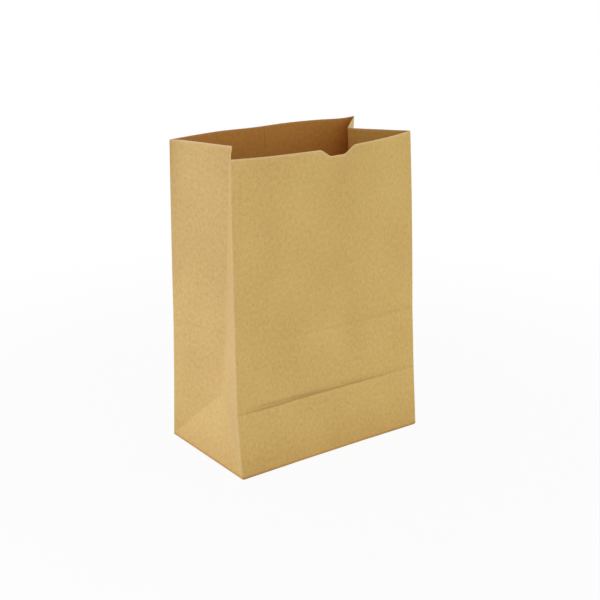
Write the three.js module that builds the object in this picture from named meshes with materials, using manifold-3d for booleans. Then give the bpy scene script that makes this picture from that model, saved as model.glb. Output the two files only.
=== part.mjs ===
import * as THREE from "three";
import Module from "manifold-3d";

// Overall sizes of the standing bag, in millimetres
const WIDTH = 305;
const DEPTH = 178;
const HEIGHT = 432;
const PAPER = 0.17;

// Fold lines that the flat-folded bag leaves in its walls
const FRONT_FOLD = DEPTH / 2;
const SECOND_FOLD = DEPTH;

// How far each corner line stands in from the base edge at the front fold, the second fold and the mouth
const FRONT_LEFT_LEAN = { fold: 10.5, second: 12.5, mouth: 15 };
const FRONT_RIGHT_LEAN = { fold: 8, second: 14.5, mouth: 24.5 };
const BACK_LEFT_LEAN = { fold: 5.5, second: 9.5, mouth: 15.5 };
const BACK_RIGHT_LEAN = { fold: 5.5, second: 10, mouth: 23 };

// How far the centre crease of each side gusset is tucked in, at the top of its base triangle and at the mouth
const TUCK_TRIANGLE = 28;
const LEFT_TUCK_MOUTH = 45;
const RIGHT_TUCK_MOUTH = 62;
const TUCK_CURVE = 0.6;

// Outward bow of the two wide panels at the mouth, how it dies away below, and their sideways drift
const FRONT_BOW = 24;
const BACK_BOW = 9;
const BOW_CURVE = 1.4;
const FRONT_SWAY = -2.5;
const BACK_SWAY = 1.2;

// Thumb notch in the front edge of the mouth
const NOTCH_WIDTH = 60;
const NOTCH_FLOOR = 27;
const NOTCH_DEPTH = 10;
const NOTCH_ROUND = 6;

// Glued lap of the two base flaps, and the glued seam down the back panel
const BASE_LAP = 28;
const SEAM_EDGE = 3;
const SEAM_LAP = 25;

// Division of the sheet into flat facets
const PANEL_STEP = 16;
const ROWS_BETWEEN_FOLDS = 3;
const ROWS_ABOVE_FOLDS = 10;
const GUSSET_STEPS = 3;
const EDGE = 0.05;

const KRAFT = 0xc6a765;

const BASE_LEVEL = 2.5 * PAPER;
const FLAP = DEPTH / 2 + BASE_LAP / 2;
const TRIANGLE_TOP = Math.sqrt(FRONT_FOLD ** 2 - TUCK_TRIANGLE ** 2);
const mix = THREE.MathUtils.lerp;

// Lean of a corner line at height z, straight between the folds
function leanAt(lean, z) {
  if (z <= FRONT_FOLD) return mix(0, lean.fold, (z - BASE_LEVEL) / (FRONT_FOLD - BASE_LEVEL));
  if (z <= SECOND_FOLD) return mix(lean.fold, lean.second, (z - FRONT_FOLD) / (SECOND_FOLD - FRONT_FOLD));
  return mix(lean.second, lean.mouth, (z - SECOND_FOLD) / (HEIGHT - SECOND_FOLD));
}

// Share of the mouth's bow that is left at height z
function bowShare(z) {
  return Math.max(0, (z - SECOND_FOLD) / (HEIGHT - SECOND_FOLD)) ** BOW_CURVE;
}

// One wide panel: side is -1 for the front and +1 for the back, u runs from the left corner to the right
class WidePanel {
  constructor(side, leftLean, rightLean, bow, sway) {
    Object.assign(this, { side, leftLean, rightLean, bow, sway });
  }

  // The bowed sheet keeps its width, so its two corners draw together
  point(u, z) {
    const rise = this.bow * bowShare(z);
    const drawn = (4 / 3) * (rise ** 2) / WIDTH;
    const lean = mix(leanAt(this.leftLean, z), leanAt(this.rightLean, z), u);
    const x = mix(-WIDTH / 2 + drawn, WIDTH / 2 - drawn, u) + this.sway * bowShare(z);
    const out = DEPTH / 2 - lean + rise * (1 - (2 * u - 1) ** 2);
    return new THREE.Vector3(x, this.side * out, z);
  }
}

const front = new WidePanel(-1, FRONT_LEFT_LEAN, FRONT_RIGHT_LEAN, FRONT_BOW, FRONT_SWAY);
const back = new WidePanel(1, BACK_LEFT_LEAN, BACK_RIGHT_LEAN, BACK_BOW, BACK_SWAY);

// Centre crease of a gusset: side is -1 for the left and +1 for the right, s runs from the triangle to the mouth
function creasePoint(side, mouthTuck, s) {
  const u = side < 0 ? 0 : 1;
  const level = mix(FRONT_FOLD, HEIGHT, s);
  const y = (front.point(u, level).y + back.point(u, level).y) / 2;
  const tuck = mix(TUCK_TRIANGLE, mouthTuck, s ** TUCK_CURVE);
  return new THREE.Vector3(side * (WIDTH / 2 - tuck), y, mix(TRIANGLE_TOP, HEIGHT, s));
}

// Middle surface of the folded sheet, each point with the plies that lie inside and outside it
class Sheet {
  constructor() {
    this.points = [];
    this.plies = [];
    this.faces = [];
    this.index = new Map();
  }

  add(p, inner = -0.5, outer = 0.5) {
    const key = [p.x, p.y, p.z].map((value) => Math.round(value * 1e4)).join(" ");
    if (!this.index.has(key)) {
      this.index.set(key, this.points.length);
      this.points.push(p.clone());
      this.plies.push({ inner, outer });
    }
    return this.index.get(key);
  }

  face(a, b, c) {
    this.faces.push([a, b, c]);
  }

  // Strip between two rows of equal length, the lower row first, seen from outside and read left to right
  strip(lower, upper) {
    for (let i = 0; i + 1 < lower.length; i += 1) {
      this.face(lower[i], lower[i + 1], upper[i + 1]);
      this.face(lower[i], upper[i + 1], upper[i]);
    }
  }

  normals() {
    return this.faces.map(([a, b, c]) => {
      const edge = new THREE.Vector3().subVectors(this.points[b], this.points[a]);
      return edge.cross(new THREE.Vector3().subVectors(this.points[c], this.points[a])).normalize();
    });
  }

  // Step from each point that moves every facet around it outward by one unit
  mitres() {
    const normals = this.normals();
    const around = this.points.map(() => []);
    this.faces.forEach((corners, f) => corners.forEach((corner) => around[corner].push(normals[f])));
    return around.map((list) => {
      const m = new THREE.Matrix3().set(0, 0, 0, 0, 0, 0, 0, 0, 0);
      const sum = new THREE.Vector3();
      const e = m.elements;
      for (const n of list) {
        const v = [n.x, n.y, n.z];
        for (let i = 0; i < 9; i += 1) e[i] += v[i % 3] * v[Math.floor(i / 3)];
        sum.add(n);
      }
      const soft = 1e-3 * list.length;
      for (const i of [0, 4, 8]) e[i] += soft;
      const guess = sum.clone().normalize();
      return sum.addScaledVector(guess, soft).applyMatrix3(m.invert());
    });
  }

  // Closed solid: outer skin, inner skin turned over, and a rim along every free edge
  thicken() {
    const mitres = this.mitres();
    const count = this.points.length;
    const at = (i, plies) => this.points[i].clone().addScaledVector(mitres[i], plies * PAPER);
    const outer = this.points.map((p, i) => at(i, this.plies[i].outer));
    const inner = this.points.map((p, i) => at(i, this.plies[i].inner));
    const triangles = [];
    const seen = new Set();
    for (const [a, b, c] of this.faces) {
      triangles.push(a, b, c, count + a, count + c, count + b);
      for (const [i, j] of [[a, b], [b, c], [c, a]]) seen.add(`${i} ${j}`);
    }
    for (const key of seen) {
      const [i, j] = key.split(" ").map(Number);
      if (!seen.has(`${j} ${i}`)) triangles.push(j, i, count + i, j, count + i, count + j);
    }
    return { points: [...outer, ...inner], triangles };
  }
}

// Height of the mouth edge across the front: level, with a notch whose corners are rounded
function notchOutline() {
  const half = NOTCH_WIDTH / 2;
  const floor = NOTCH_FLOOR / 2;
  const corners = [[-half - 8, 0], [-half, 0], [-floor, -NOTCH_DEPTH], [floor, -NOTCH_DEPTH], [half, 0], [half + 8, 0]];
  const outline = [];
  for (let i = 1; i + 1 < corners.length; i += 1) {
    const at = new THREE.Vector2(...corners[i]);
    const from = new THREE.Vector2(...corners[i - 1]).sub(at).setLength(NOTCH_ROUND).add(at);
    const to = new THREE.Vector2(...corners[i + 1]).sub(at).setLength(NOTCH_ROUND).add(at);
    outline.push(...new THREE.QuadraticBezierCurve(from, at, to).getPoints(4));
  }
  return outline;
}

// Evenly spaced places from one value to another, no further apart than the panel step
function places(from, to) {
  const count = Math.max(1, Math.ceil((to - from) / PANEL_STEP));
  return Array.from({ length: count + 1 }, (_, i) => mix(from, to, i / count));
}

// Levels of the rows above the front fold, as shares of the way up to the mouth
function upperShares() {
  const second = (SECOND_FOLD - FRONT_FOLD) / (HEIGHT - FRONT_FOLD);
  const lower = Array.from({ length: ROWS_BETWEEN_FOLDS }, (_, i) => second * i / ROWS_BETWEEN_FOLDS);
  const upper = Array.from({ length: ROWS_ABOVE_FOLDS + 1 }, (_, i) => mix(second, 1, i / ROWS_ABOVE_FOLDS));
  return [...lower, ...upper];
}

function foldSheet() {
  const sheet = new Sheet();
  const shares = upperShares();
  const levels = [BASE_LEVEL, ...shares.map((s) => mix(FRONT_FOLD, HEIGHT, s))];
  const backLevels = [BASE_LEVEL, BASE_LEVEL + 1, ...levels.slice(1)];

  // Front panel, its top row following the notch
  const notch = notchOutline();
  const half = WIDTH / 2;
  const notchEnd = notch[notch.length - 1].x;
  const frontTop = [
    ...places(-half, -notchEnd).slice(0, -1).map((x) => new THREE.Vector2(x, 0)),
    ...notch,
    ...places(notchEnd, half).slice(1).map((x) => new THREE.Vector2(x, 0)),
  ];
  const frontRows = levels.map((z, row) => frontTop.map((place) => {
    const level = row + 1 < levels.length ? z : z + place.y;
    return sheet.add(front.point((place.x + half) / WIDTH, level));
  }));
  for (let row = 0; row + 1 < frontRows.length; row += 1) sheet.strip(frontRows[row], frontRows[row + 1]);

  // Back panel, one sheet edge lapped over the other along the seam
  const seamStart = SEAM_EDGE - SEAM_LAP;
  const backPlaces = [
    ...places(-half, seamStart).map((x) => [x, -0.5, 0.5]),
    ...places(seamStart + EDGE, SEAM_EDGE).map((x) => [x, -0.5, 1.5]),
    ...places(SEAM_EDGE + EDGE, half).map((x) => {
      const outward = (half - x) / (half - SEAM_EDGE);
      return [x, outward - 0.5, outward + 0.5];
    }),
  ].reverse();
  const backRows = backLevels.map((z, row) => backPlaces.map(([x, inner, outer]) => {
    const point = back.point((x + half) / WIDTH, z);
    return row === 0 ? sheet.add(point) : sheet.add(point, inner, outer);
  }));
  for (let row = 0; row + 1 < backRows.length; row += 1) sheet.strip(backRows[row], backRows[row + 1]);

  // Side gussets: a triangle standing on the base, two lower corners and two halves that meet at the crease
  for (const [side, mouthTuck] of [[-1, LEFT_TUCK_MOUTH], [1, RIGHT_TUCK_MOUTH]]) {
    const u = side < 0 ? 0 : 1;
    const crease = shares.map((s) => creasePoint(side, mouthTuck, s));
    const apex = sheet.add(crease[0]);
    const frontEdge = levels.map((z) => front.point(u, z));
    const backEdge = backLevels.map((z) => back.point(u, z));
    const turn = (a, b, c) => (side < 0 ? sheet.face(a, b, c) : sheet.face(a, c, b));
    turn(sheet.add(backEdge[0]), sheet.add(frontEdge[0]), apex);
    turn(sheet.add(frontEdge[0]), sheet.add(frontEdge[1]), apex);
    turn(sheet.add(backEdge[1]), sheet.add(backEdge[0]), apex);
    const across = (from, to) => Array.from({ length: GUSSET_STEPS + 1 },
      (_, i) => sheet.add(from.clone().lerp(to, i / GUSSET_STEPS)));
    const frontHalf = crease.map((c, i) => across(c, frontEdge[i + 1]));
    const backHalf = crease.map((c, i) => across(backEdge[i + 2], c));
    for (let i = 0; i < GUSSET_STEPS; i += 1) turn(sheet.add(backEdge[1]), backHalf[0][i + 1], backHalf[0][i]);
    const shown = (row) => (side < 0 ? row : [...row].reverse());
    for (let i = 0; i + 1 < crease.length; i += 1) {
      sheet.strip(shown(frontHalf[i]), shown(frontHalf[i + 1]));
      sheet.strip(shown(backHalf[i]), shown(backHalf[i + 1]));
    }
  }
  closeFold(sheet, [-1, 1]);

  // Base ply, bounded by the foot of the four walls
  const ring = [...frontRows[0], ...backRows[0]];
  const outline = ring.map((i) => new THREE.Vector2(sheet.points[i].x, sheet.points[i].y));
  for (const [a, b, c] of THREE.ShapeUtils.triangulateShape(outline, [])) sheet.face(ring[a], ring[c], ring[b]);
  return sheet;
}

// The front half's lowest row is split along the fold, so the corner below it is divided to meet it
function closeFold(sheet, sides) {
  for (const side of sides) {
    const u = side < 0 ? 0 : 1;
    const apex = sheet.add(creasePoint(side, 0, 0));
    const top = sheet.add(front.point(u, FRONT_FOLD));
    const foot = sheet.add(front.point(u, BASE_LEVEL));
    const whole = sheet.faces.findIndex((f) => [apex, top, foot].every((i) => f.includes(i)));
    sheet.faces.splice(whole, 1);
    const a = sheet.points[apex];
    const line = Array.from({ length: GUSSET_STEPS + 1 },
      (_, i) => sheet.add(a.clone().lerp(sheet.points[top], i / GUSSET_STEPS)));
    for (let i = 0; i < GUSSET_STEPS; i += 1) {
      if (side < 0) sheet.face(foot, line[i + 1], line[i]);
      else sheet.face(foot, line[i], line[i + 1]);
    }
  }
}

// Upright prism on a plan outline
function prism(outline, bottom, top) {
  const plan = outline.map(([x, y]) => new THREE.Vector2(x, y));
  if (THREE.ShapeUtils.area(plan) < 0) plan.reverse();
  const count = plan.length;
  const points = [bottom, top].flatMap((z) => plan.map((p) => new THREE.Vector3(p.x, p.y, z)));
  const triangles = [];
  for (const [a, b, c] of THREE.ShapeUtils.triangulateShape(plan, [])) {
    triangles.push(a, c, b, count + a, count + b, count + c);
  }
  for (let i = 0; i < count; i += 1) {
    const j = (i + 1) % count;
    triangles.push(i, j, count + j, i, count + j, count + i);
  }
  return { points, triangles };
}

// Flap folded in from the front (side -1) or the back (side +1), from one distance to another, with mitred ends
function flap(side, from, to, bottom, top) {
  const x = (reach) => WIDTH / 2 - reach;
  const y = (reach) => side * (DEPTH / 2 - reach);
  return prism([[-x(from), y(from)], [x(from), y(from)], [x(to), y(to)], [-x(to), y(to)]], bottom, top);
}

const wasm = await Module();
wasm.setup();

function solid({ points, triangles }) {
  const vertProperties = Float32Array.from(points.flatMap((p) => [p.x, p.y, p.z]));
  const mesh = new wasm.Mesh({ numProp: 3, vertProperties, triVerts: Uint32Array.from(triangles) });
  return new wasm.Manifold(mesh);
}

// Folded base: back flap, front flap lapped over it, and the four corner tucks under their mitred ends
function foldBase(walls) {
  const free = DEPTH / 2 - BASE_LAP / 2;
  const within = 2.4 * PAPER;
  let bag = walls;
  bag = bag.add(solid(flap(1, 0, FLAP, PAPER, within)));
  bag = bag.add(solid(flap(-1, 0, free + PAPER, PAPER, within)));
  bag = bag.add(solid(flap(-1, free, FLAP, 0, 1.4 * PAPER)));
  for (const sx of [-1, 1]) {
    for (const sy of [-1, 1]) {
      const [x, y] = [sx * WIDTH / 2, sy * DEPTH / 2];
      const tuck = [[x, y], [x - sx * FLAP, y], [x - sx * FLAP, y - sy * FLAP]];
      bag = bag.add(solid(prism(tuck, 0, 1.4 * PAPER)));
    }
  }

  // Between the free edges of the two end flaps the floor is one ply thinner
  const bare = WIDTH / 2 - FLAP;
  const inset = DEPTH / 2 - 1;
  const window = [[-bare, -inset], [bare, -inset], [bare, inset], [-bare, inset]];
  return bag.subtract(solid(prism(window, 2 * PAPER, 6 * PAPER)));
}

function geometryOf(body) {
  const mesh = body.getMesh();
  const geometry = new THREE.BufferGeometry();
  const positions = new Float32Array(mesh.numVert * 3);
  for (let i = 0; i < mesh.numVert; i += 1) {
    for (let k = 0; k < 3; k += 1) positions[3 * i + k] = mesh.vertProperties[mesh.numProp * i + k];
  }
  geometry.setAttribute("position", new THREE.BufferAttribute(positions, 3));
  geometry.setIndex(new THREE.BufferAttribute(Uint32Array.from(mesh.triVerts), 1));
  geometry.computeVertexNormals();
  return geometry;
}

const bag = new THREE.Mesh(
  geometryOf(foldBase(solid(foldSheet().thicken()))),
  new THREE.MeshStandardMaterial({ color: KRAFT, roughness: 0.85, metalness: 0 }),
);
bag.name = "paper_bag";

const group = new THREE.Group();
group.name = "brown_paper_bag";
group.add(bag);
export default group;
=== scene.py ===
"""Brown kraft paper bag that stands open: its folded sheet, base flaps, glued seam, finish and studio."""
import logging
import math
from dataclasses import dataclass, field
from enum import Enum
from typing import Any, Union

import bpy
import numpy as np
from mathutils import Matrix, Vector


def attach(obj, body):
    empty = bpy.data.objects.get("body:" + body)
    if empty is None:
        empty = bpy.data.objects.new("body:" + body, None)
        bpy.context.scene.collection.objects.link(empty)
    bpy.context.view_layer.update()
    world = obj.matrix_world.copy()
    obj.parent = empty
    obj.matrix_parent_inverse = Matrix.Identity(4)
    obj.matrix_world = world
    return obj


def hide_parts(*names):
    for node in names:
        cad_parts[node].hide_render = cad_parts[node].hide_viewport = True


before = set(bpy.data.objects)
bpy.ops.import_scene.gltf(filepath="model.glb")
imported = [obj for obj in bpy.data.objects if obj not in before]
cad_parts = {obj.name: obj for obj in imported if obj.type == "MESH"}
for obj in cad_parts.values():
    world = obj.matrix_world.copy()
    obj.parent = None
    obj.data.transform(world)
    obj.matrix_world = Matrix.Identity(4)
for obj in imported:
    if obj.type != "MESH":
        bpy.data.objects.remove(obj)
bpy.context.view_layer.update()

log = logging.getLogger("paper_bag")
Array = np.ndarray
Number = Union[int, float]
SHEET_MAP = "sheet"
INSIDE_SHIFT = 3.0
BASE_SHIFT = -0.3
SEAM_SHIFT = 0.4
TINY = 1e-9
Spot = tuple[float, float]
Scale = tuple[float, float, float]


class Wall(Enum):
    """The two wide panels, by the side of the bag that they close."""

    FRONT = -1
    BACK = 1


class End(Enum):
    """The two gusseted ends, by the side of the bag that they close."""

    LEFT = -1
    RIGHT = 1


def mix(start: Any, stop: Any, share: Any) -> Any:
    """Value part of the way from start to stop."""
    return start + (stop - start) * share


def ease(share: Any) -> Any:
    """Smooth step from 0 to 1, level at both ends."""
    held = np.clip(share, 0.0, 1.0)
    return held * held * (3.0 - 2.0 * held)


def curve_through(places: Array, values: Array, at: Array) -> Array:
    """Smooth curve through a few points.

    Args:
        places: Rising places of the points.
        values: Values at those places.
        at: Places to read the curve at.

    Returns:
        The curve's values, with the shape of at.
    """
    slopes = np.gradient(values, places)
    span = np.clip(np.searchsorted(places, at) - 1, 0, len(places) - 2)
    width = places[span + 1] - places[span]
    t = (at - places[span]) / width
    low = values[span] * (1 + 2 * t) * (1 - t) ** 2 + slopes[span] * width * t * (1 - t) ** 2
    high = values[span + 1] * t * t * (3 - 2 * t) + slopes[span + 1] * width * t * t * (t - 1)
    return low + high


@dataclass(frozen=True)
class BagSize:
    """Overall sizes of the standing bag, in metres."""

    width: float = 0.305
    depth: float = 0.178
    height: float = 0.432
    paper: float = 0.00017
    base_level: float = 0.00095
    base_lap: float = 0.028

    @property
    def fold(self) -> float:
        """Height of the fold that the flat bag leaves across its front."""
        return self.depth / 2

    @property
    def second(self) -> float:
        """Height of the fainter second fold."""
        return self.depth

    @property
    def flap(self) -> float:
        """Reach of a base flap from its hinge."""
        return self.depth / 2 + self.base_lap / 2

    @property
    def girth(self) -> float:
        """Length of the sheet once round the bag."""
        return 2 * (self.width + self.depth)

    def level(self, climb: Array) -> Array:
        """Height above the floor of a point that lies climb up the sheet."""
        return np.interp(climb, [0.0, self.fold, self.height], [self.base_level, self.fold, self.height])


@dataclass(frozen=True)
class Lean:
    """How far a corner line stands in from the base edge at the two folds and at the mouth."""

    fold: float
    second: float
    mouth: float

    def at(self, level: Array, bag: BagSize) -> Array:
        """Lean at a height, straight between the folds."""
        heights = [bag.base_level, bag.fold, bag.second, bag.height]
        return np.interp(level, heights, [0.0, self.fold, self.second, self.mouth])


@dataclass(frozen=True)
class WidePanel:
    """Front or back panel, which leans in and bows outward toward the mouth."""

    bag: BagSize
    wall: Wall
    left: Lean
    right: Lean
    bow: float
    sway: float
    waves: tuple[Spot, ...] = ((0.0, 0.0), (1.0, 0.0))
    bow_curve: float = 1.4

    def loosened(self, level: Array) -> Array:
        """Share of the mouth's bow that is left at a height."""
        bag = self.bag
        return np.clip((level - bag.second) / (bag.height - bag.second), 0.0, 1.0) ** self.bow_curve

    def point(self, share: Array, level: Array) -> Array:
        """Place on the panel.

        Args:
            share: Way across, 0 at the left corner and 1 at the right.
            level: Height above the floor.

        Returns:
            Points, with x, y and z on the last axis.
        """
        share, level = np.broadcast_arrays(np.asarray(share, float), np.asarray(level, float))
        bag = self.bag
        loose = self.loosened(level)
        rise = self.bow * loose
        drawn = (4 / 3) * rise**2 / bag.width
        lean = mix(self.left.at(level, bag), self.right.at(level, bag), share)
        places, offsets = np.array(self.waves).T
        wave = curve_through(places, offsets, share) * loose
        x = mix(drawn - bag.width / 2, bag.width / 2 - drawn, share) + self.sway * loose
        out = bag.depth / 2 - lean + rise * (1 - (2 * share - 1) ** 2) + wave
        return np.stack([x, self.wall.value * out, level], axis=-1)


@dataclass(frozen=True)
class Gusset:
    """Pleated end: a triangle that stands on the base and two halves that meet at a tucked-in crease."""

    bag: BagSize
    end: End
    front: WidePanel
    back: WidePanel
    tuck_mouth: float
    flick: float
    flick_forward: float
    drift: float = 0.0
    pinch: float = 0.0
    tuck_triangle: float = 0.028
    tuck_curve: float = 0.6
    flick_reach: float = 0.014
    fold_round: float = 0.012

    def corners(self, level: Any) -> dict[Wall, Array]:
        """Points of the front and the back corner line at a height."""
        share = 0.0 if self.end is End.LEFT else 1.0
        return {Wall.FRONT: self.front.point(share, level), Wall.BACK: self.back.point(share, level)}

    def crease(self, rise: Array) -> Array:
        """Points of the centre crease, from 0 at the triangle's top to 1 at the mouth."""
        bag = self.bag
        level = mix(bag.fold, bag.height, rise)
        corners = self.corners(level)
        y = (corners[Wall.FRONT][..., 1] + corners[Wall.BACK][..., 1]) / 2
        tuck = mix(self.tuck_triangle, self.tuck_mouth, rise**self.tuck_curve)
        flicked = np.exp((level - bag.height) / self.flick_reach)
        tuck = tuck + self.flick * flicked
        y = y - self.flick_forward * flicked - self.drift * rise
        top = math.sqrt(bag.fold**2 - self.tuck_triangle**2)
        return np.stack([self.end.value * (bag.width / 2 - tuck), y, mix(top, bag.height, rise)], axis=-1)

    def point(self, across: Array, climb: Array) -> Array:
        """Place on the gusset.

        Args:
            across: Distance on the sheet from the centre line, toward the back where it is positive.
            climb: Distance up the sheet.

        Returns:
            Points, with x, y and z on the last axis.
        """
        across, climb = np.broadcast_arrays(across, climb)
        bag = self.bag
        half = bag.fold
        edges, feet, knees = (self.corners(level) for level in (bag.level(climb), bag.base_level, bag.fold))
        apex = self.crease(np.array(0.0))
        rise = np.clip((climb - half) / (bag.height - half), 0.0, 1.0)
        crease = self.crease(rise)
        out = np.abs(across)[..., None] / half
        up = climb[..., None] / half
        front_side = (across < 0)[..., None]
        edge, foot, knee = (np.where(front_side, side[Wall.FRONT], side[Wall.BACK]) for side in (edges, feet, knees))
        pleat = mix(crease, edge, out)
        flattened = (27 / 4) * (1 - out[..., 0]) * out[..., 0] ** 2
        pleat[..., 1] += self.pinch * np.where(across > 0, flattened, 0.0) * rise**2
        corner_part = foot + up * (knee - foot) + (1 - out) * (apex - knee)
        middle = (feet[Wall.FRONT] + feet[Wall.BACK]) / 2
        stride = (feet[Wall.BACK] - feet[Wall.FRONT]) / 2
        triangle = middle + up * (apex - middle) + (across[..., None] / half) * stride
        inward = (half - climb - np.abs(across))[..., None]
        low = mix(corner_part, triangle, ease(inward / (2 * self.fold_round) + 0.5))
        edge_on = (np.abs(across) >= half - TINY)[..., None]
        low = np.where(edge_on, corner_part, low)
        low = np.where(climb[..., None] <= TINY, triangle, low)
        return np.where(climb[..., None] >= half, pleat, low)


class Shell:
    """Closed paper shells gathered into one mesh, with the flat sheet's map and the paper's own fields."""

    def __init__(self) -> None:
        """Starts with no points."""
        self.points: list[Array] = []
        self.steps: list[Array] = []
        self.loose: list[Array] = []
        self.cut: list[Array] = []
        self.faces: list[list[int]] = []
        self.maps: list[Spot] = []
        self.count = 0

    def add_points(self, points: Array, steps: Array, loose: Array, cut: Array) -> int:
        """Adds points.

        Args:
            points: Places, one a row.
            steps: Unit steps outward from the sheet, one a row.
            loose: How freely each point may cockle, from 0 to 1.
            cut: 1 on a cut edge of the paper, 0 away from it.

        Returns:
            Number of the first new point.
        """
        first = self.count
        self.points.append(points)
        self.steps.append(steps)
        self.loose.append(loose)
        self.cut.append(cut)
        self.count += len(points)
        return first

    def add_face(self, corners: list[int], places: list[Spot]) -> None:
        """Adds one face with its corners' places on the flat sheet."""
        self.faces.append(corners)
        self.maps.extend(places)

    def add_sheet(
        self, points: Array, faces: list[list[int]], places: list[list[Spot]],
        within: Number, beyond: Number, loose: Array, cut: Array,
    ) -> None:
        """Thickens a sheet of faces into a closed shell with a rim along its free edges.

        Args:
            points: Points of the sheet, one a row.
            faces: Four corners of each face, counter-clockwise seen from outside. Both skins are split from the
                first corner to the third, so that a twisted face never shows one skin through the other.
            places: Place of each corner on the flat sheet.
            within: Offset of the inner skin along the outward step.
            beyond: Offset of the outer skin along the outward step.
            loose: How freely each point may cockle.
            cut: 1 on a cut edge, 0 away from it.
        """
        steps = np.zeros_like(points)
        group = np.array(faces)
        corner = points[group]
        facing = np.cross(corner[:, 2] - corner[:, 0], corner[:, 3] - corner[:, 1])
        for k in range(4):
            np.add.at(steps, group[:, k], facing)
        steps /= np.maximum(np.linalg.norm(steps, axis=1, keepdims=True), TINY**2)
        outer = self.add_points(points + steps * beyond, steps, loose, cut)
        inner = self.add_points(points + steps * within, steps, loose, cut)
        seen: dict[tuple[int, int], tuple[Spot, Spot]] = {}
        for face, spots in zip(faces, places):
            for half in ((0, 1, 2), (0, 2, 3)):
                back = half[::-1]
                self.add_face([outer + face[k] for k in half], [spots[k] for k in half])
                within_spots = [(spots[k][0] + INSIDE_SHIFT, spots[k][1]) for k in back]
                self.add_face([inner + face[k] for k in back], within_spots)
            for k in range(4):
                after = (k + 1) % 4
                seen[(face[k], face[after])] = (spots[k], spots[after])
        for (i, j), (start, stop) in seen.items():
            if (j, i) not in seen:
                self.add_face([outer + j, outer + i, inner + i, inner + j], [stop, start, start, stop])

    def add_plate(
        self, grid: Array, places: Array, within: Number, beyond: Number, cut: Array, loose: Array | None = None,
    ) -> None:
        """Thickens a grid of points into a closed plate.

        Args:
            grid: Points in rows and columns, counter-clockwise seen from outside.
            places: Their places on the flat sheet.
            within: Offset of the inner skin along the outward step.
            beyond: Offset of the outer skin along the outward step.
            cut: 1 on a cut edge, 0 away from it.
            loose: How freely each point may cockle; not at all where it isn't given.
        """
        rows, columns = grid.shape[:2]
        number = np.arange(rows * columns).reshape(rows, columns)
        faces, spots = [], []
        for i in range(rows - 1):
            for j in range(columns - 1):
                cells = [(i, j), (i, j + 1), (i + 1, j + 1), (i + 1, j)]
                faces.append([int(number[c]) for c in cells])
                spots.append([tuple(places[c]) for c in cells])
        if loose is None:
            loose = np.zeros((rows, columns))
        self.add_sheet(grid.reshape(-1, 3), faces, spots, within, beyond, loose.ravel(), cut.ravel())

    def mesh(self, name: str) -> bpy.types.Mesh:
        """Mesh of all shells, with the sheet map and the fields that the finish and the cockle read."""
        mesh = bpy.data.meshes.new(name)
        mesh.from_pydata(np.concatenate(self.points).tolist(), [], self.faces)
        chart = mesh.uv_layers.new(name=SHEET_MAP)
        chart.data.foreach_set("uv", np.array(self.maps, dtype=np.float32).ravel())
        step = mesh.attributes.new("outward", "FLOAT_VECTOR", "POINT")
        step.data.foreach_set("vector", np.concatenate(self.steps).astype(np.float32).ravel())
        for label, values in (("loose", self.loose), ("cut_edge", self.cut)):
            mark = mesh.attributes.new(label, "FLOAT", "POINT")
            mark.data.foreach_set("value", np.concatenate(values).astype(np.float32))
        mesh.validate()
        return mesh


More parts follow.
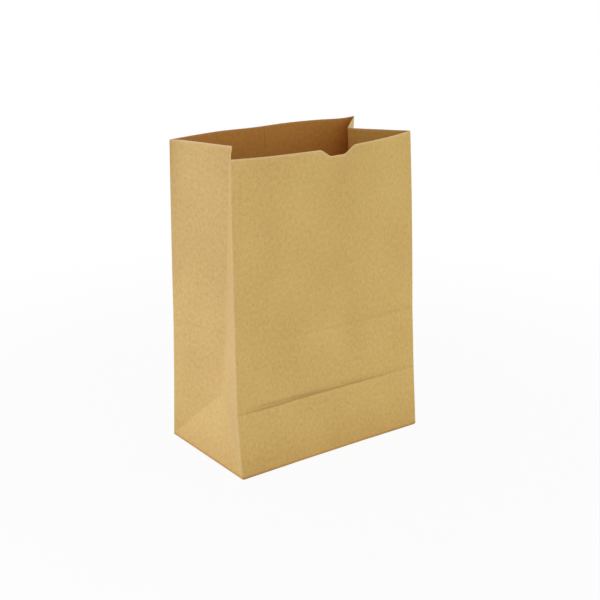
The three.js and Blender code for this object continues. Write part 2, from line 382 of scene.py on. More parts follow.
@dataclass
class FoldedSheet:
    """Walls and base ply of the bag: one sheet, pleated at both ends, folded in at the foot."""

    bag: BagSize
    front: WidePanel
    back: WidePanel
    left: Gusset
    right: Gusset
    notch_width: float = 0.057
    notch_floor: float = 0.025
    notch_depth: float = 0.0105
    notch_shift: float = 0.003
    notch_round: float = 0.0025
    panel_step: float = 0.005
    row_step: float = 0.005
    seam_edge: float = 0.003
    fold_press: float = 0.0011
    fold_spread: float = 0.0026
    second_press: float = 0.00035
    second_spread: float = 0.0025
    press_from: Spot = (-0.120, -0.040)
    press_to: Spot = (0.105, 0.035)
    notch_fade: float = 0.030
    cockle_from: float = 0.14
    seam_clear: float = 0.0008
    fold_margin: float = 0.0105
    second_margin: float = 0.0075
    close_rows: tuple[float, ...] = (0.001, 0.002, 0.0035, 0.006)
    second_rows: tuple[float, ...] = (-0.0035, -0.0015, 0.0, 0.0015, 0.0035)
    mouth_rows: tuple[float, ...] = (0.004, 0.002, 0.0008, 0.0)

    def places(self) -> Array:
        """Places of the upright lines across a wide panel, from its left corner."""
        half = self.bag.width / 2
        even = np.linspace(-half, half, round(self.bag.width / self.panel_step) + 1)
        reach = self.notch_width / 2 + self.notch_shift + 2 * self.notch_round
        fine = np.linspace(-reach, reach, 2 * round(2 * reach / self.panel_step) + 1)
        kept = even[np.abs(even) > reach + self.panel_step / 2]
        seam = [self.seam_edge, self.seam_edge + 2 * self.bag.paper]
        fine = fine[np.min(np.abs(fine[:, None] - np.array(seam)), axis=1) > self.seam_clear]
        return np.unique(np.concatenate([kept, fine, seam]))

    def even_rows(self, low: float, high: float) -> Array:
        """Evenly spaced heights from low to high, about a row step apart."""
        return np.linspace(low, high, round((high - low) / self.row_step) + 1)

    def low_climbs(self) -> Array:
        """Heights of the rows from the foot up to the fold."""
        fold = self.bag.fold
        close = fold - np.array([0.0, *self.close_rows])
        return np.unique(np.concatenate([self.even_rows(0.0, fold - self.fold_margin), close]))

    def climbs(self) -> Array:
        """Heights of all rows up the sheet, closer together at the folds and the mouth."""
        bag = self.bag
        close = bag.fold + np.array(self.close_rows)
        between = self.even_rows(bag.fold + self.fold_margin, bag.second - self.second_margin)
        second = bag.second + np.array(self.second_rows)
        above = self.even_rows(bag.second + self.second_margin, bag.height - self.second_margin)
        mouth = bag.height - np.array(self.mouth_rows)
        return np.unique(np.concatenate([self.low_climbs(), close, between, second, above, mouth]))

    def notch(self, place: Array) -> Array:
        """Depth of the thumb notch below the mouth's edge, its corners rounded."""
        shifts = np.linspace(-self.notch_round, self.notch_round, 9)
        reach = np.abs(place[..., None] - self.notch_shift + shifts)
        slope = (self.notch_width - self.notch_floor) / 2
        return self.notch_depth * np.clip((self.notch_width / 2 - reach) / slope, 0.0, 1.0).mean(axis=-1)

    def pressed(self, climb: Array, strength: Array) -> Array:
        """Depth of the groove that the flat folding pressed into the paper."""
        groove = self.fold_press * strength * np.exp(-((climb - self.bag.fold) / self.fold_spread) ** 2)
        return groove + self.second_press * np.exp(-((climb - self.bag.second) / self.second_spread) ** 2)

    def freed(self, climb: Array) -> Array:
        """How freely the paper may cockle at a height: not at the foot."""
        return ease(climb / self.cockle_from)

    def spread(self, place: Array) -> Array:
        """How freely a wide panel may cockle across its width: not at its corners."""
        return 1 - (2 * place / self.bag.width) ** 4

    def wide_points(self, panel: WidePanel, place: Array, climb: Array) -> Array:
        """Points of a wide panel with its notch, pressed folds and seam step.

        Args:
            panel: Front or back panel.
            place: Places across, from the middle.
            climb: Heights up the sheet.

        Returns:
            Points, one row of the array for each height.
        """
        bag = self.bag
        x, v = np.meshgrid(place, climb)
        share = x / bag.width + 0.5
        if panel.wall is Wall.FRONT:
            v = v - self.notch(x) * ease((v - bag.height) / self.notch_fade + 1)
            (start, full), (stop, fade) = self.press_from, self.press_to
            strength = mix(0.30, 1.0, ease((x - start) / (full - start)) * ease((stop - x) / (stop - fade)))
            points = panel.point(share, bag.level(v))
            points[..., 1] += self.pressed(v, strength)
            return points
        points = panel.point(share, bag.level(v))
        outward = bag.paper * np.where(x > self.seam_edge + bag.paper, (bag.width / 2 - x) / (bag.width / 2), 0.0)
        points[..., 1] += outward * ease(v / 0.004)
        return points

    def gusset_points(self, gusset: Gusset, across: Array, climb: Array) -> Array:
        """Points of a gusset with its pressed folds, one row of the array for each height."""
        a, v = np.meshgrid(across, climb)
        points = gusset.point(a, v)
        inward = self.pressed(v, np.full_like(v, 0.25)) * np.sin(np.pi * np.abs(a) / self.bag.fold)
        points[..., 0] -= gusset.end.value * inward
        return points

    def build(self, shell: Shell) -> None:
        """Adds the walls and the base ply to the shell."""
        bag = self.bag
        place, climb, low = self.places(), self.climbs(), self.low_climbs()
        across = np.unique(np.concatenate([low - bag.fold, bag.fold - low]))
        blocks = [
            self.wide_points(self.front, place, climb)[:, :-1],
            self.gusset_points(self.right, across, climb)[:, :-1],
            self.wide_points(self.back, place, climb)[:, ::-1][:, :-1],
            self.gusset_points(self.left, across, climb)[:, ::-1][:, :-1],
        ]
        wall = np.concatenate(blocks, axis=1)
        rows, columns = wall.shape[:2]
        wide, pleat = len(place), len(across)
        half = bag.width / 2
        run = np.concatenate([
            place[:-1] + half,
            across[:-1] + bag.width + bag.fold,
            (half - place)[::-1][:-1] + bag.width + bag.depth,
            (bag.fold - across)[::-1][:-1] + 2 * bag.width + bag.depth,
            [bag.girth],
        ])
        panel_free, pleat_free = self.spread(place), 0.8 * np.sin(np.pi * np.abs(across) / bag.fold)
        sides = (panel_free, pleat_free, panel_free[::-1], pleat_free[::-1])
        loose = self.freed(climb)[:, None] * np.concatenate([side[:-1] for side in sides])
        cut = np.zeros((rows, columns))
        cut[-3:] = np.array([0.3, 0.7, 1.0])[:, None]

        number = np.arange(rows * columns).reshape(rows, columns)
        first_halves = (wide - 1, 2 * (wide - 1) + pleat - 1)
        faces: list[list[int]] = []
        spots: list[list[Spot]] = []

        def put(cells: list[tuple[int, int]]) -> None:
            """Adds one wall face by its cells' rows and columns."""
            faces.append([int(number[i, j % columns]) for i, j in cells])
            spots.append([(float(run[j]), float(climb[i])) for i, j in cells])

        later_halves = {start + pleat - 2 - k for start in first_halves for k in range(len(low) - 1)}
        for i in range(rows - 1):
            for j in range(columns):
                corners = [(i, j), (i, j + 1), (i + 1, j + 1), (i + 1, j)]
                put(corners[1:] + corners[:1] if j in later_halves else corners)

        middle_x, middle_y = np.meshgrid(place[1:-1], across[1:-1], indexing="ij")
        base = np.stack([middle_x, middle_y, np.full_like(middle_x, bag.base_level)], axis=-1).reshape(-1, 3)
        total = rows * columns

        def foot(ix: int, iy: int) -> int:
            """Number of a base point, shared with the walls along the outline."""
            if iy == 0 and ix < wide - 1:
                return ix
            if ix == wide - 1 and iy < pleat - 1:
                return wide - 1 + iy
            if iy == pleat - 1 and ix > 0:
                return wide - 1 + pleat - 1 + (wide - 1 - ix)
            if ix == 0:
                return 2 * (wide - 1) + pleat - 1 + (pleat - 1 - iy)
            return total + (ix - 1) * (pleat - 2) + iy - 1

        for ix in range(wide - 1):
            for iy in range(pleat - 1):
                cells = [(ix, iy), (ix, iy + 1), (ix + 1, iy + 1), (ix + 1, iy)]
                faces.append([foot(*c) for c in cells])
                spots.append([(float(place[a] + half), float(across[b]) + BASE_SHIFT) for a, b in cells])
        points = np.concatenate([wall.reshape(-1, 3), base])
        more = np.zeros(len(base))
        shell.add_sheet(
            points, faces, spots, -bag.paper / 2, bag.paper / 2,
            np.concatenate([loose.ravel(), more]), np.concatenate([cut.ravel(), more]),
        )


@dataclass
class BackSeam:
    """Glued lap down the back panel: the free edge of the sheet lies on the outside."""

    bag: BagSize
    sheet: FoldedSheet
    lap: float = 0.025
    lift: float = 0.00025
    edge_bend: float = 0.005
    seat: float = 0.55
    columns: int = 9

    def build(self, shell: Shell) -> None:
        """Adds the lapped strip to the shell."""
        bag, sheet = self.bag, self.sheet
        climb = sheet.climbs()[1:]
        start = sheet.seam_edge - self.lap
        place = np.linspace(start, sheet.seam_edge + 2 * bag.paper, self.columns)
        grid = sheet.back.point(*np.meshgrid(place / bag.width + 0.5, bag.level(climb)))
        raised = self.lift * ease((start + self.edge_bend - place) / self.edge_bend)
        grid[..., 1] += bag.paper * self.seat + raised[None, :]
        run = bag.width + bag.depth + (bag.width / 2 - place) + SEAM_SHIFT
        spots = np.stack(np.meshgrid(run, climb), axis=-1)
        loose = sheet.freed(climb)[:, None] * sheet.spread(place)[None, :]
        cut = np.zeros_like(loose)
        cut[:, 0] = 1.0
        cut[-1] = 1.0
        shell.add_plate(grid[:, ::-1], spots[:, ::-1], 0.0, bag.paper, cut[:, ::-1], loose[:, ::-1])


@dataclass
class BaseFlaps:
    """Folded base: the back flap, the front flap lapped over it, the corner tucks and the end flaps inside."""

    bag: BagSize
    hinge: float = 0.00072
    rest: float = 0.00058
    lapped: float = 0.00026
    tucked: float = 0.00011
    tuck_reach: float = 0.086
    across: int = 40
    along: int = 24
    edge_band: float = 0.0012
    hinge_gap: float = 0.0006
    hinge_bend: float = 0.012
    lap_from: float = 0.010
    lap_bend: float = 0.009
    tuck_columns: int = 12
    tuck_margin: float = 0.012
    end_gap: float = 0.0012
    end_share: float = 0.97
    end_lift: float = 0.0003
    end_bend: float = 0.004

    def outline(self, wall: Wall, reach: Array, share: Array) -> tuple[Array, Array]:
        """Plan place on a flap with mitred ends, by reach from its hinge and share of its width."""
        half = self.bag.width / 2 - reach
        return mix(-half, half, share), wall.value * (self.bag.depth / 2 - reach)

    def reaches(self, start: float, stop: float) -> Array:
        """Even places from start to stop, with one close to the free edge at stop."""
        return np.append(np.linspace(start, stop - self.edge_band, self.along), stop)

    def free_edge(self, grid: Array) -> Array:
        """Cut-edge field of a flap whose last row is its free edge."""
        cut = np.zeros(grid.shape[:2])
        cut[-1] = 0.8
        return cut

    def long_flap(self, shell: Shell, wall: Wall) -> None:
        """Adds the flap that is folded in from the front or the back."""
        bag = self.bag
        shares = np.linspace(0.0, 1.0, self.across)
        reach, share = np.meshgrid(self.reaches(self.hinge_gap, bag.flap), shares, indexing="ij")
        x, y = self.outline(wall, reach, share)
        z = mix(self.hinge, self.rest, ease(reach / self.hinge_bend))
        if wall is Wall.FRONT:
            free = bag.depth / 2 - bag.base_lap / 2
            z = mix(z, self.lapped, ease((reach - free + self.lap_from) / self.lap_bend))
        grid = np.stack([x, y, z], axis=-1)
        spots = np.stack([x + bag.width / 2, y + BASE_SHIFT * 3], axis=-1)
        cut = self.free_edge(grid)
        if wall is Wall.BACK:
            grid, spots = grid[:, ::-1], spots[:, ::-1]
        shell.add_plate(grid[:, ::-1], spots[:, ::-1], -bag.paper / 2, bag.paper / 2, cut)

    def corner_tuck(self, shell: Shell, wall: Wall, end: End) -> None:
        """Adds the doubled triangle under one mitred corner."""
        bag = self.bag
        shares = np.linspace(self.tuck_margin, 1 - self.tuck_margin, self.tuck_columns)
        along, share = np.meshgrid(self.reaches(0.02 * self.tuck_reach, self.tuck_reach), shares, indexing="ij")
        x = end.value * (bag.width / 2 - along)
        y = wall.value * (bag.depth / 2 - along * share)
        grid = np.stack([x, y, np.full_like(x, self.tucked)], axis=-1)
        spots = np.stack([x + bag.width / 2, y + BASE_SHIFT * 5], axis=-1)
        cut = self.free_edge(grid)
        if wall.value * end.value > 0:
            grid, spots, cut = grid[::-1], spots[::-1], cut[::-1]
        shell.add_plate(grid[:, ::-1], spots[:, ::-1], -bag.paper / 4, bag.paper / 4, cut)

    def end_flap(self, shell: Shell, end: End) -> None:
        """Adds the end flap that lies on the floor inside the bag."""
        bag = self.bag
        sides = np.linspace(-self.end_share, self.end_share, self.across) * bag.depth / 2
        reach, y = np.meshgrid(self.reaches(self.end_gap, bag.flap), sides, indexing="ij")
        x = end.value * (bag.width / 2 - reach)
        lift = self.end_lift * ease((reach - bag.flap + self.end_bend) / self.end_bend)
        grid = np.stack([x, y, bag.base_level + bag.paper * 1.1 + lift], axis=-1)
        spots = np.stack([x + bag.width / 2 + INSIDE_SHIFT, y + BASE_SHIFT * 7], axis=-1)
        cut = self.free_edge(grid)
        if end is End.RIGHT:
            grid, spots = grid[:, ::-1], spots[:, ::-1]
        shell.add_plate(grid, spots, -bag.paper / 2, bag.paper / 2, cut)

    def build(self, shell: Shell) -> None:
        """Adds all flaps to the shell."""
        for wall in Wall:
            self.long_flap(shell, wall)
            for end in End:
                self.corner_tuck(shell, wall, end)
        for end in End:
            self.end_flap(shell, end)


class Signal:
    """One output socket of a node, with arithmetic that adds Math nodes."""

    def __init__(self, nodes: "Nodes", socket: bpy.types.NodeSocket) -> None:
        """Keeps the node maker and the socket."""
        self.nodes = nodes
        self.socket = socket

    def math(self, operation: str, *others: Any) -> "Signal":
        """Math node on this value and others."""
        return self.nodes.add("ShaderNodeMath", {"operation": operation}, dict(enumerate((self, *others))))

    def __add__(self, other: Any) -> "Signal":
        """Sum."""
        return self.math("ADD", other)

    __radd__ = __add__

    def __mul__(self, other: Any) -> "Signal":
        """Product."""
        return self.math("MULTIPLY", other)

    __rmul__ = __mul__

    def __sub__(self, other: Any) -> "Signal":
        """Difference."""
        return self.math("SUBTRACT", other)

    def __rsub__(self, other: Any) -> "Signal":
        """Difference from a number."""
        return self.nodes.add("ShaderNodeMath", {"operation": "SUBTRACT"}, {0: other, 1: self})

    def __truediv__(self, other: Any) -> "Signal":
        """Quotient."""
        return self.math("DIVIDE", other)

    def __rtruediv__(self, other: Any) -> "Signal":
        """Quotient of a number by this value."""
        return self.nodes.add("ShaderNodeMath", {"operation": "DIVIDE"}, {0: other, 1: self})

    def __abs__(self) -> "Signal":
        """Size without sign."""
        return self.math("ABSOLUTE")

    def __gt__(self, other: Any) -> "Signal":
        """1 where this is greater, else 0."""
        return self.math("GREATER_THAN", other)

    def __lt__(self, other: Any) -> "Signal":
        """1 where this is less, else 0."""
        return self.math("LESS_THAN", other)

    def least(self, other: Any) -> "Signal":
        """Lesser of two values."""
        return self.math("MINIMUM", other)

    def ramp(self, start: Number, stop: Number) -> "Signal":
        """Smooth rise from 0 at start to 1 at stop."""
        settings = {"interpolation_type": "SMOOTHSTEP"}
        return self.nodes.add("ShaderNodeMapRange", settings, {"Value": self, "From Min": start, "From Max": stop})


class Nodes:
    """Maker of nodes in one tree."""

    def __init__(self, tree: bpy.types.NodeTree) -> None:
        """Keeps the tree and clears it."""
        self.tree = tree
        tree.nodes.clear()

    def add(self, kind: str, settings: dict[str, Any], sockets: dict[Any, Any], output: Any = 0) -> Signal:
        """Adds a node.

        Args:
            kind: Type of the node.
            settings: Attributes of the node, set before its sockets.
            sockets: Values or signals for its inputs, by name or number.
            output: Name or number of the output to return.

        Returns:
            The chosen output, or the node's first input where it has no output.
        """
        node = self.tree.nodes.new(kind)
        for label, value in settings.items():
            setattr(node, label, value)
        for label, value in sockets.items():
            socket = node.inputs[label]
            if isinstance(value, Signal):
                self.tree.links.new(value.socket, socket)
            else:
                socket.default_value = value
        return Signal(self, node.outputs[output] if len(node.outputs) else node.inputs[0])

    def looked_at(self) -> Signal:
        """1 for light that reaches the eye straight, by a mirror or through glass, else 0."""
        rays = ("Is Camera Ray", "Is Glossy Ray", "Is Transmission Ray")
        looked, mirrored, through = (self.add("ShaderNodeLightPath", {}, {}, ray) for ray in rays)
        return (looked + mirrored + through).least(1.0)

    def blend(self, share: Any, start: Any, stop: Any, blend: str = "MIX") -> Signal:
        """Mix of two colours."""
        settings = {"data_type": "RGBA", "blend_type": blend}
        return self.add("ShaderNodeMix", settings, {0: share, 6: start, 7: stop}, 2)

    def stretch(self, vector: Signal, scale: Scale) -> Signal:
        """Vector multiplied axis by axis."""
        return self.add("ShaderNodeVectorMath", {"operation": "MULTIPLY"}, {0: vector, 1: scale})

    def noise(self, vector: Signal, scale: Scale, detail: float = 2.0) -> Signal:
        """Noise from 0 to 1 on a stretched vector."""
        settings = {"noise_dimensions": "3D"}
        sockets = {"Vector": self.stretch(vector, scale), "Scale": 1.0, "Detail": detail, "Roughness": 0.55}
        return self.add("ShaderNodeTexNoise", settings, sockets, "Fac")


def linear(red: int, green: int, blue: int) -> tuple[float, float, float, float]:
    """Linear colour of a screen colour from 0 to 255."""
    parts = [value / 255 for value in (red, green, blue)]
    straight = [p / 12.92 if p <= 0.04045 else ((p + 0.055) / 1.055) ** 2.4 for p in parts]
    return (*straight, 1.0)


@dataclass(frozen=True)
class KraftPaper:
    """Unbleached brown kraft: streaked fibres, cloudy formation, dark flecks and rubbed fold lines, with painted
    shade in the fold grooves, beside the seam inside, at the foot and on the inner skin.
    """

    name: str = "kraft_paper"
    pale: tuple[int, int, int] = (210, 176, 95)
    deep: tuple[int, int, int] = (192, 156, 76)
    fleck: tuple[int, int, int] = (142, 104, 54)
    rubbed: tuple[int, int, int] = (224, 199, 146)
    # Colour of crease wear and of the painted shade in the pressed fold grooves.
    crease: tuple[int, int, int] = (158, 108, 40)
    # Tint of the painted shade at the foot.
    foot: tuple[float, float, float] = (0.78, 0.60, 0.36)
    # Tint of the painted inner shade, multiplied into the inner skin's colour.
    painted_inner_shade: tuple[float, float, float] = (1.0, 0.70, 0.46)
    streaks: Scale = (640.0, 150.0, 1.0)
    clouds: Scale = (210.0, 165.0, 1.0)
    drifts: Scale = (14.0, 9.0, 1.0)
    grains: Scale = (1900.0, 1500.0, 1.0)
    fibres: Scale = (2600.0, 360.0, 1.0)
    specks: Scale = (300.0, 120.0, 1.0)
    rubs: Scale = (260.0, 110.0, 1.0)
    wavers: Scale = (24.0, 1.0, 1.0)
    roughness: float = 0.64
    gloss: float = 0.45
    bloom: float = 0.09

    def fold_gap(self, run: Signal, climb: Signal, bag: BagSize) -> Signal:
        """Distance on the flat sheet from the nearest corner, crease or diagonal fold.

        Args:
            run: Place along the sheet, once round the bag.
            climb: Place up the sheet.
            bag: Sizes of the bag.

        Returns:
            Distance in metres.
        """
        gap = abs(run)
        for corner in (bag.width, bag.width + bag.depth, 2 * bag.width + bag.depth, bag.girth):
            gap = gap.least(abs(run - corner))
        for centre in (bag.width + bag.fold, 2 * bag.width + bag.depth + bag.fold):
            across = abs(run - centre)
            gap = gap.least(across + (climb < bag.fold))
            diagonal = abs(across + climb - bag.fold) * math.sqrt(0.5)
            gap = gap.least(diagonal + (climb > bag.fold) + (across > bag.fold))
        return gap.least(abs(climb))

    def fold_wear_and_shade(
        self, n: Nodes, chart: Signal, run: Signal, climb: Signal, inside: Signal, bag: BagSize,
    ) -> Signal:
        """How dark the paper is along the pressed folds, partly crease wear and partly painted shade in the grooves,
        and, inside, a painted shadow beside the seam's edge.

        Args:
            n: Maker of nodes.
            chart: Place on the flat sheet.
            run: Place along the sheet, once round the bag.
            climb: Place up the sheet.
            inside: 1 on the inner skin, else 0.
            bag: Sizes of the bag.

        Returns:
            Share of the crease colour, up to 0.8.
        """
        waver = (n.noise(chart, self.wavers, 1.0) - 0.5) * 0.0022
        on_front = (run < bag.width) * (run > 0.0)
        middle = run.ramp(-0.02, 0.05) * (1 - run.ramp(0.19, 0.30) * 0.72)
        line = abs(climb - bag.fold + waver).ramp(0.0024, 0.0003) * on_front * middle
        upper = abs(climb - bag.fold - 0.0065 + run * 0.028 + waver).ramp(0.0034, 0.0003) * on_front
        upper = upper * run.ramp(0.015, 0.06) * (1 - run.ramp(0.11, 0.17)) * 0.26
        marked = run.ramp(0.14, 0.20) * (run < bag.width) + (run > 2 * bag.width + bag.depth) * 0.8
        faint = abs(climb - bag.second + waver).ramp(0.0030, 0.0004) * 0.12 * marked
        # Painted shadow beside the seam's inner edge, where the lapped ply steps down.
        edge_run = bag.width + bag.depth + bag.width / 2 - 0.003
        lap = abs(run - edge_run).ramp(0.0016, 0.0003) * inside * 0.8
        warm = abs(climb - bag.fold - 0.004).ramp(0.008, 0.0) * on_front * middle * 0.14
        return (line * 0.50 + upper + warm + faint + lap * 0.3).least(0.8)

    def material(self, bag: BagSize) -> bpy.types.Material:
        """Paper finish that follows the flat sheet's map.

        Args:
            bag: Sizes of the bag, which place the fold lines.

        Returns:
            The material.
        """
        material = bpy.data.materials.new(self.name)
        material.use_nodes = True
        n = Nodes(material.node_tree)
        chart = n.add("ShaderNodeUVMap", {"uv_map": SHEET_MAP}, {})
        run_all = n.add("ShaderNodeSeparateXYZ", {}, {0: chart}, "X")
        climb = n.add("ShaderNodeSeparateXYZ", {}, {0: chart}, "Y")
        inside = run_all > INSIDE_SHIFT - 0.5
        run = run_all - inside * INSIDE_SHIFT

        streak = n.noise(chart, self.streaks, 3.0)
        cloud = n.noise(chart, self.clouds, 2.0)
        drift = n.noise(chart, self.drifts, 1.0)
        grain = n.noise(chart, self.grains, 2.0)
        fibre = n.noise(chart, self.fibres, 1.0)
        tone = streak * 0.28 + cloud * 0.36 + drift * 0.20 + grain * 0.16
        colour = n.blend(tone.ramp(0.34, 0.66), linear(*self.deep), linear(*self.pale))
        colour = n.blend(fibre.ramp(0.56, 0.72) * 0.34, colour, linear(*self.rubbed))
        colour = n.blend(fibre.ramp(0.44, 0.28) * 0.22, colour, linear(*self.fleck))

        cells = n.stretch(chart, self.specks)
        settings = {"voronoi_dimensions": "2D", "feature": "F1"}
        near = n.add("ShaderNodeTexVoronoi", settings, {"Vector": cells, "Scale": 1.0}, "Distance")
        lot = n.add("ShaderNodeTexVoronoi", settings, {"Vector": cells, "Scale": 1.0}, "Color")
        chosen = n.add("ShaderNodeSeparateColor", {}, {0: lot}, 0)
        speck = near.ramp(0.22, 0.06) * (chosen > 0.86)
        colour = n.blend(speck * 0.32, colour, linear(*self.fleck))

        gap = self.fold_gap(run, climb, bag)
        rub = gap.ramp(0.0016, 0.0002) * n.noise(chart, self.rubs).ramp(0.30, 0.62)
        colour = n.blend(rub * 0.20, colour, linear(*self.rubbed))
        cut = n.add("ShaderNodeAttribute", {"attribute_name": "cut_edge"}, {}, "Fac")
        colour = n.blend(cut * 0.65, colour, linear(*self.rubbed))

        # Crease wear, with painted shade in the fold grooves and a painted shadow beside the seam.
        crease_wear_and_shade_share = self.fold_wear_and_shade(n, chart, run, climb, inside, bag)
        colour = n.blend(crease_wear_and_shade_share, colour, linear(*self.crease))

        # Painted shade at the foot: darker and more saturated over the lowest 55 mm of the walls, strongly in the
        # lowest few millimetres where the bag meets the floor.
        down = ((1 - climb.ramp(0.0, 0.055)) * 0.30 + (1 - climb.ramp(0.0008, 0.0040)) * 0.85) * (climb > -0.05)
        colour = n.blend(down, colour, n.blend(1.0, colour, (*self.foot, 1.0), "MULTIPLY"))

        # Painted shade on the inner skin, a deeper and redder brown than the lamps give: half strength toward the
        # bottom, and weaker on the front half of the right gusset, where less painted shade stands in for light
        # through the paper.
        gusset_light_share = run.ramp(bag.width - 0.004, bag.width + 0.02) * (1 - run.ramp(bag.width + 0.07, bag.width + 0.10))
        inner_shade_share = inside * (0.5 + climb.ramp(0.12, 0.34) * 0.5) * (1 - gusset_light_share * 0.45)
        colour = n.blend(inner_shade_share, colour, n.blend(1.0, colour, (*self.painted_inner_shade, 1.0), "MULTIPLY"))

        height = streak * 0.45 + grain * 0.35 + cloud * 0.35 + fibre * 0.25
        bump = n.add("ShaderNodeBump", {}, {"Strength": 0.35, "Distance": 0.0004, "Height": height})
        rough = self.roughness + (streak - 0.5) * 0.16 + (grain - 0.5) * 0.08
        sockets = {"Base Color": colour, "Roughness": rough, "Specular IOR Level": self.gloss, "Normal": bump,
                   "Sheen Weight": self.bloom, "Sheen Roughness": 0.5}
        paper = n.add("ShaderNodeBsdfPrincipled", {}, sockets)
        n.add("ShaderNodeOutputMaterial", {}, {"Surface": paper})
        return material


@dataclass(frozen=True)
class WhiteFloor:
    """Pale sheet under the bag, white to the eye, that keeps the bag's soft shadow."""

    name: str = "white_floor"
    tone: float = 0.60
    glow: float = 0.94
    clear_from: float = 0.35
    clear_to: float = 1.10

    def material(self) -> bpy.types.Material:
        """Floor finish: mostly even white where it is looked at, plain pale grey for other light."""
        material = bpy.data.materials.new(self.name)
        material.use_nodes = True
        n = Nodes(material.node_tree)
        grey = (self.tone, self.tone, self.tone, 1.0)
        plain = n.add("ShaderNodeBsdfDiffuse", {}, {"Color": grey})
        white = n.add("ShaderNodeEmission", {}, {"Color": (1.0, 1.0, 1.0, 1.0), "Strength": 1.0})
        place = n.add("ShaderNodeTexCoord", {}, {}, "Object")
        away = n.add("ShaderNodeVectorMath", {"operation": "LENGTH"}, {0: place}, "Value")
        clear = self.glow + away.ramp(self.clear_from, self.clear_to) * (1 - self.glow)
        mixed = n.add("ShaderNodeMixShader", {}, {0: n.looked_at() * clear, 1: plain, 2: white})
        n.add("ShaderNodeOutputMaterial", {}, {"Surface": mixed})
        return material


@dataclass
class PaperBag:
    """The whole bag: sheet, seam and base flaps in one piece, cockled and dressed in kraft."""

    bag: BagSize = field(default_factory=BagSize)
    finish: KraftPaper = field(default_factory=KraftPaper)
    cockle_height: float = 0.0016
    cockle_length: float = 0.085
    cockle_seed: float = 4.0
    sharp_from: float = math.radians(34.0)
    flat: tuple[float, float] = (0.991, 0.535)

    def parts(self) -> tuple[FoldedSheet, BackSeam, BaseFlaps]:
        """Sheet, seam and base flaps, with their measured leans, bows and tucks."""
        bag = self.bag
        front = WidePanel(
            bag, Wall.FRONT, Lean(0.0105, 0.0125, 0.0150), Lean(0.0080, 0.0145, 0.0245), bow=0.024, sway=-0.0025,
        )
        back = WidePanel(
            bag, Wall.BACK, Lean(0.0055, 0.0095, 0.0110), Lean(0.0055, 0.0100, 0.0215), bow=0.009, sway=0.0024,
            waves=((0.0, 0.0), (0.12, 0.0030), (0.28, 0.0055), (0.45, 0.0), (0.63, 0.0030), (0.80, 0.0),
                   (0.93, -0.0060), (1.0, 0.0)),
        )
        left = Gusset(bag, End.LEFT, front, back, 0.045, 0.0013, 0.0058, drift=0.0022, pinch=0.011)
        right = Gusset(bag, End.RIGHT, front, back, 0.062, 0.0, 0.0)
        sheet = FoldedSheet(bag, front, back, left, right)
        return sheet, BackSeam(bag, sheet), BaseFlaps(bag)

    def cockle_tree(self) -> bpy.types.NodeTree:
        """Geometry node tree that waves the loose paper along its outward step and sets its finish."""
        tree = bpy.data.node_groups.new("paper_cockle", "GeometryNodeTree")
        tree.interface.new_socket("Geometry", in_out="INPUT", socket_type="NodeSocketGeometry")
        for label in ("Wave height", "Wave length", "Seed"):
            tree.interface.new_socket(label, in_out="INPUT", socket_type="NodeSocketFloat")
        tree.interface.new_socket("Finish", in_out="INPUT", socket_type="NodeSocketMaterial")
        tree.interface.new_socket("Geometry", in_out="OUTPUT", socket_type="NodeSocketGeometry")
        n = Nodes(tree)
        labels = ("Geometry", "Wave height", "Wave length", "Seed", "Finish")
        given = {label: n.add("NodeGroupInput", {}, {}, label) for label in labels}
        place = n.add("GeometryNodeInputPosition", {}, {})
        spread = n.add("ShaderNodeVectorMath", {"operation": "SCALE"}, {0: place, "Scale": 1 / given["Wave length"]})
        sockets = {"Vector": spread, "W": given["Seed"], "Scale": 1.0, "Detail": 1.5, "Roughness": 0.45}
        wave = n.add("ShaderNodeTexNoise", {"noise_dimensions": "4D"}, sockets, 0)
        loose = n.add("GeometryNodeInputNamedAttribute", {"data_type": "FLOAT"}, {"Name": "loose"})
        outward = n.add("GeometryNodeInputNamedAttribute", {"data_type": "FLOAT_VECTOR"}, {"Name": "outward"})
        amount = (wave - 0.5) * loose * given["Wave height"] * 2
        step = n.add("ShaderNodeVectorMath", {"operation": "SCALE"}, {0: outward, "Scale": amount})
        moved = n.add("GeometryNodeSetPosition", {}, {"Geometry": given["Geometry"], "Offset": step})
        real = n.add("GeometryNodeRealizeInstances", {}, {0: moved})
        dressed = n.add("GeometryNodeSetMaterial", {}, {"Geometry": real, "Material": given["Finish"]})
        n.add("NodeGroupOutput", {}, {0: dressed})
        return tree

    def build(self) -> bpy.types.Object:
        """Builds the bag's mesh and waves it.

        Returns:
            The bag, as a plain mesh at the origin.
        """
        shell = Shell()
        for part in self.parts():
            part.build(shell)
            log.info("%s: %d points so far", type(part).__name__, shell.count)
        piece = bpy.data.objects.new("paper_bag_sheet", shell.mesh("paper_bag_sheet"))
        bpy.context.scene.collection.objects.link(piece)
        material = self.finish.material(self.bag)
        tree = self.cockle_tree()
        modifier = piece.modifiers.new("cockle", "NODES")
        modifier.node_group = tree
        values = {
            "Wave height": self.cockle_height, "Wave length": self.cockle_length,
            "Seed": self.cockle_seed, "Finish": material,
        }
        for item in tree.interface.items_tree:
            if item.in_out == "INPUT" and item.name in values:
                modifier[item.identifier] = values[item.name]
        graph = bpy.context.evaluated_depsgraph_get()
        waved = piece.evaluated_get(graph)
        mesh = bpy.data.meshes.new_from_object(waved, preserve_all_data_layers=True, depsgraph=graph)
        piece.modifiers.remove(modifier)
        piece.data = mesh
        mesh.set_sharp_from_angle(angle=self.sharp_from)
        return piece

    def dress(self, piece: bpy.types.Object) -> None:
        """Hangs the piece on the root body and hides the CAD part that it stands for."""
        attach(piece, "root")
        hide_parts("paper_bag")


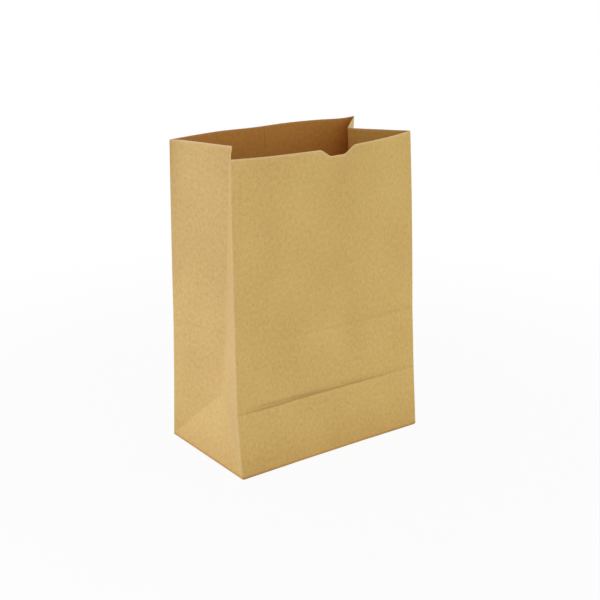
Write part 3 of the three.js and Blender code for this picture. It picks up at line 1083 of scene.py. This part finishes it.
@dataclass(frozen=True)
class Lamp:
    """Soft square lamp, placed round the bag by its turn from the front, its height angle and its distance."""

    name: str
    turn: float
    tilt: float
    distance: float
    size: float
    power: float
    tint: tuple[float, float, float] = (1.0, 1.0, 1.0)
    aim: tuple[float, float, float] = (0.0, 0.0, 0.1)

    def build(self) -> bpy.types.Object:
        """Adds the lamp to the scene."""
        a, e = math.radians(self.turn), math.radians(self.tilt)
        away = Vector((math.sin(a) * math.cos(e), -math.cos(a) * math.cos(e), math.sin(e)))
        data = bpy.data.lights.new(self.name, "AREA")
        data.shape = "SQUARE"
        data.size = self.size
        data.energy = self.power
        data.color = self.tint
        lamp = bpy.data.objects.new(self.name, data)
        lamp.location = Vector(self.aim) + away * self.distance
        lamp.rotation_mode = "QUATERNION"
        lamp.rotation_quaternion = (-away).to_track_quat("-Z", "Y")
        bpy.context.scene.collection.objects.link(lamp)
        return lamp


@dataclass
class Studio:
    """Floor, lamps, surroundings and camera."""

    floor_finish: WhiteFloor = field(default_factory=WhiteFloor)
    floor_reach: float = 14.0
    surround: float = 0.83
    lamps: tuple[Lamp, ...] = (
        Lamp("left_lamp", -70.0, 2.0, 0.95, 0.4, 2.25, (0.93, 1.0, 2.2)),
        Lamp("left_rear_lamp", -125.0, 2.0, 0.95, 0.4, 2.0, (0.98, 1.0, 1.05)),
        Lamp("front_lamp", 36.0, 2.0, 1.45, 0.6, 5.3),
    )
    turn: float = -36.2233
    tilt: float = 18.9063
    distance: float = 1.7237
    aim_right: float = 0.0059
    aim_up: float = -0.01645
    lens: float = 73.83

    def build_floor(self) -> bpy.types.Object:
        """Adds the floor under the bag."""
        reach = self.floor_reach
        mesh = bpy.data.meshes.new("floor")
        corners = [(-reach, -reach, 0.0), (reach, -reach, 0.0), (reach, reach, 0.0), (-reach, reach, 0.0)]
        mesh.from_pydata(corners, [], [(0, 1, 2, 3)])
        mesh.materials.append(self.floor_finish.material())
        floor = bpy.data.objects.new("floor", mesh)
        bpy.context.scene.collection.objects.link(floor)
        return floor

    def build_surround(self) -> bpy.types.World:
        """Adds the even surrounding light, white where it is looked at."""
        world = bpy.data.worlds.new("surround")
        world.use_nodes = True
        n = Nodes(world.node_tree)
        white = (1.0, 1.0, 1.0, 1.0)
        soft = n.add("ShaderNodeBackground", {}, {"Color": white, "Strength": self.surround})
        bright = n.add("ShaderNodeBackground", {}, {"Color": white, "Strength": 1.0})
        mixed = n.add("ShaderNodeMixShader", {}, {0: n.looked_at(), 1: soft, 2: bright})
        n.add("ShaderNodeOutputWorld", {}, {"Surface": mixed})
        bpy.context.scene.world = world
        return world

    def build_camera(self, bag: BagSize) -> bpy.types.Object:
        """Adds the camera at the picture's viewing angle."""
        a, e = math.radians(self.turn), math.radians(self.tilt)
        back = Vector((math.sin(a) * math.cos(e), -math.cos(a) * math.cos(e), math.sin(e)))
        right = Vector((math.cos(a), math.sin(a), 0.0))
        up = back.cross(right)
        place = Vector((0.0, 0.0, bag.height / 2)) + right * self.aim_right + up * self.aim_up + back * self.distance
        data = bpy.data.cameras.new("camera")
        data.lens = self.lens
        data.sensor_width = 36.0
        data.clip_start, data.clip_end = 0.05, 60.0
        camera = bpy.data.objects.new("camera", data)
        camera.matrix_world = Matrix.Translation(place) @ Matrix((right, up, back)).transposed().to_4x4()
        bpy.context.scene.collection.objects.link(camera)
        bpy.context.scene.camera = camera
        return camera

    def build(self, bag: BagSize) -> None:
        """Builds floor, surroundings, lamps and camera."""
        bpy.context.scene.view_settings.view_transform = "Standard"
        self.build_floor()
        self.build_surround()
        for lamp in self.lamps:
            lamp.build()
        self.build_camera(bag)


def main() -> None:
    """Builds the studio and the bag, dresses the bag and reports each piece."""
    logging.basicConfig(level=logging.INFO, format="%(name)s: %(message)s")
    maker = PaperBag()
    Studio().build(maker.bag)
    log.info("studio built")
    piece = maker.build()
    maker.dress(piece)
    log.info("%s: %d faces", piece.name, len(piece.data.polygons))


if __name__ == "__main__":
    main()
